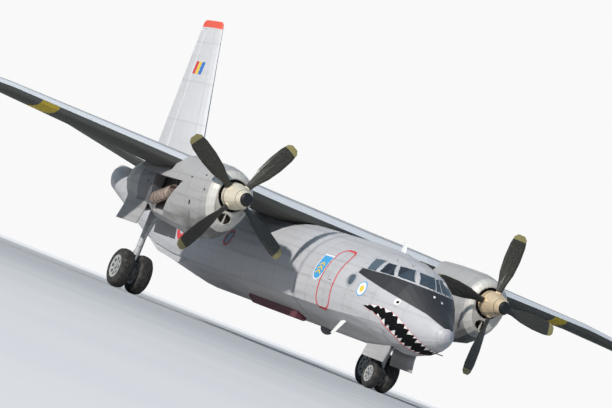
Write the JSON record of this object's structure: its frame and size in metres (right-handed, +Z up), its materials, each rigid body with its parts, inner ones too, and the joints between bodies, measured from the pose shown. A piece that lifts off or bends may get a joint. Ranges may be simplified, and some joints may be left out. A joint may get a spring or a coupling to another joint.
{
  "type": "twin-propeller military transport plane",
  "caption": "High-wing twin-propeller military transport plane parked on its gear, with a rear cargo ramp, moving tail and wing surfaces and steered nose wheels.",
  "frame": {"origin": "on the floor, midway along the length and the span", "axes": "+X towards the left wing tip, -Y towards the nose, +Z up"},
  "size_m": [29.2, 23.8, 8.575],
  "materials": {
    "grey_paint": "satin paint",
    "leg_steel": "satin",
    "engine_steel": "heat-stained",
    "tyre_rubber": "matt",
    "blade_metal": "satin",
    "window_glass": "clear",
    "seat_fabric": "woven",
    "dark_paint": "matt paint",
    "white_paint": "satin paint",
    "red_paint": "satin paint",
    "floor_metal": "worn matt"
  },
  "bodies": {
    "airframe": {"nose_cone": "grey_paint", "cockpit_shell": "grey_paint", "cockpit_belly": "grey_paint", "cabin_shell": "grey_paint", "tail_shell": "grey_paint", "tail_cone": "grey_paint", "cockpit_floor": "floor_metal", "cargo_floor": "floor_metal", "crew_door": "grey_paint", "wing_centre": "grey_paint", "wing_left": "grey_paint", "wing_right": "grey_paint", "fin": "grey_paint", "tailplane_left": "grey_paint", "tailplane_right": "grey_paint", "ventral_fin_left": "grey_paint", "ventral_fin_right": "grey_paint", "nacelle_front_left": "grey_paint", "nacelle_front_right": "grey_paint", "nacelle_rear_left": "grey_paint", "nacelle_rear_right": "grey_paint", "exhaust_pipe_left": "engine_steel", "exhaust_pipe_right": "engine_steel", "engine_block_left": "engine_steel", "engine_block_right": "engine_steel", "main_leg_left": "leg_steel", "main_leg_right": "leg_steel", "nose_leg": "leg_steel", "cockpit_glass": "window_glass", "instrument_panel": "dark_paint", "pilot_seat_left": "seat_fabric", "pilot_seat_right": "seat_fabric", "roof_antenna": "white_paint", "belly_antenna": "white_paint", "belly_dome": "dark_paint", "belly_box": "red_paint", "jet_nozzle": "engine_steel", "nose_door_left": "grey_paint", "nose_door_right": "grey_paint", "main_door_outer_left": "grey_paint", "main_door_outer_right": "grey_paint", "main_door_inner_left": "grey_paint", "main_door_inner_right": "grey_paint"},
    "propeller_left": {"propeller_left": "blade_metal"},
    "propeller_right": {"propeller_right": "blade_metal"},
    "main_wheels_left": {"main_wheels_left": "tyre_rubber"},
    "main_wheels_right": {"main_wheels_right": "tyre_rubber"},
    "nose_fork": {"nose_fork": "leg_steel"},
    "nose_wheels": {"nose_wheels": "tyre_rubber"},
    "cargo_ramp": {"cargo_ramp": "grey_paint"},
    "rudder": {"rudder": "grey_paint"},
    "elevator_left": {"elevator_left": "grey_paint"},
    "elevator_right": {"elevator_right": "grey_paint"},
    "aileron_left": {"aileron_left": "grey_paint"},
    "aileron_right": {"aileron_right": "grey_paint"},
    "flap_inner_left": {"flap_inner_left": "grey_paint"},
    "flap_inner_right": {"flap_inner_right": "grey_paint"},
    "flap_outer_left": {"flap_outer_left": "grey_paint"},
    "flap_outer_right": {"flap_outer_right": "grey_paint"}
  },
  "joints": [
    {"name": "propeller_left_joint", "type": "hinge", "parent": "airframe", "child": "propeller_left", "pos_m": [3.95, -6.38, 3.2], "axis": [0, 1, 0], "continuous": true},
    {"name": "main_wheels_left_joint", "type": "hinge", "parent": "airframe", "child": "main_wheels_left", "pos_m": [3.95, -1.7, 0.525], "axis": [1, 0, 0], "continuous": true},
    {"name": "propeller_right_joint", "type": "hinge", "parent": "airframe", "child": "propeller_right", "pos_m": [-3.95, -6.38, 3.2], "axis": [0, 1, 0], "continuous": true},
    {"name": "main_wheels_right_joint", "type": "hinge", "parent": "airframe", "child": "main_wheels_right", "pos_m": [-3.95, -1.7, 0.525], "axis": [1, 0, 0], "continuous": true},
    {"name": "nose_fork_joint", "type": "hinge", "parent": "airframe", "child": "nose_fork", "pos_m": [0, -9.35, 0.86], "axis": [0, 0, 1], "range_deg": [-45, 45]},
    {"name": "nose_wheels_joint", "type": "hinge", "parent": "nose_fork", "child": "nose_wheels", "pos_m": [0, -9.35, 0.35], "axis": [1, 0, 0], "continuous": true},
    {"name": "cargo_ramp_joint", "type": "hinge", "parent": "airframe", "child": "cargo_ramp", "pos_m": [0, 2.58, 1.15652], "axis": [-1, 0, 0], "range_deg": [0, 28]},
    {"name": "flap_inner_left_joint", "type": "hinge", "parent": "airframe", "child": "flap_inner_left", "pos_m": [1.65, -1.00917, 3.4809], "axis": [0.9998, -0.0034, 0.0176], "range_deg": [-38, 0]},
    {"name": "flap_inner_right_joint", "type": "hinge", "parent": "airframe", "child": "flap_inner_right", "pos_m": [-1.65, -1.00917, 3.4809], "axis": [0.9998, 0.0034, -0.0176], "range_deg": [-38, 0]},
    {"name": "flap_outer_left_joint", "type": "hinge", "parent": "airframe", "child": "flap_outer_left", "pos_m": [4.83, -1.0019, 3.55149], "axis": [0.9996, 0.0083, 0.0259], "range_deg": [-38, 0]},
    {"name": "flap_outer_right_joint", "type": "hinge", "parent": "airframe", "child": "flap_outer_right", "pos_m": [-4.83, -1.0019, 3.55149], "axis": [0.9996, -0.0083, -0.0259], "range_deg": [-38, 0]},
    {"name": "aileron_left_joint", "type": "hinge", "parent": "airframe", "child": "aileron_left", "pos_m": [9.33, -0.97432, 3.65878], "axis": [0.9995, 0.0102, -0.03], "range_deg": [-20, 20]},
    {"name": "aileron_right_joint", "type": "hinge", "parent": "airframe", "child": "aileron_right", "pos_m": [-9.33, -0.97432, 3.65878], "axis": [0.9995, -0.0102, 0.03], "range_deg": [-20, 20]},
    {"name": "elevator_left_joint", "type": "hinge", "parent": "airframe", "child": "elevator_left", "pos_m": [0.65, 10.322, 3.80295], "axis": [0.9719, 0.1779, 0.1539], "range_deg": [-20, 30]},
    {"name": "elevator_right_joint", "type": "hinge", "parent": "airframe", "child": "elevator_right", "pos_m": [-0.65, 10.322, 3.80295], "axis": [0.9719, -0.1779, -0.1539], "range_deg": [-20, 30]},
    {"name": "rudder_joint", "type": "hinge", "parent": "airframe", "child": "rudder", "pos_m": [0, 8.58425, 4.01], "axis": [0, 0.1609, 0.987], "range_deg": [-25, 25]}
  ],
  "couplings": [
    {"joint": "flap_inner_right_joint", "follows": "flap_inner_left_joint", "ratio": 1},
    {"joint": "flap_outer_left_joint", "follows": "flap_inner_left_joint", "ratio": 1},
    {"joint": "flap_outer_right_joint", "follows": "flap_inner_left_joint", "ratio": 1},
    {"joint": "aileron_right_joint", "follows": "aileron_left_joint", "ratio": -1},
    {"joint": "elevator_right_joint", "follows": "elevator_left_joint", "ratio": 1}
  ]
}
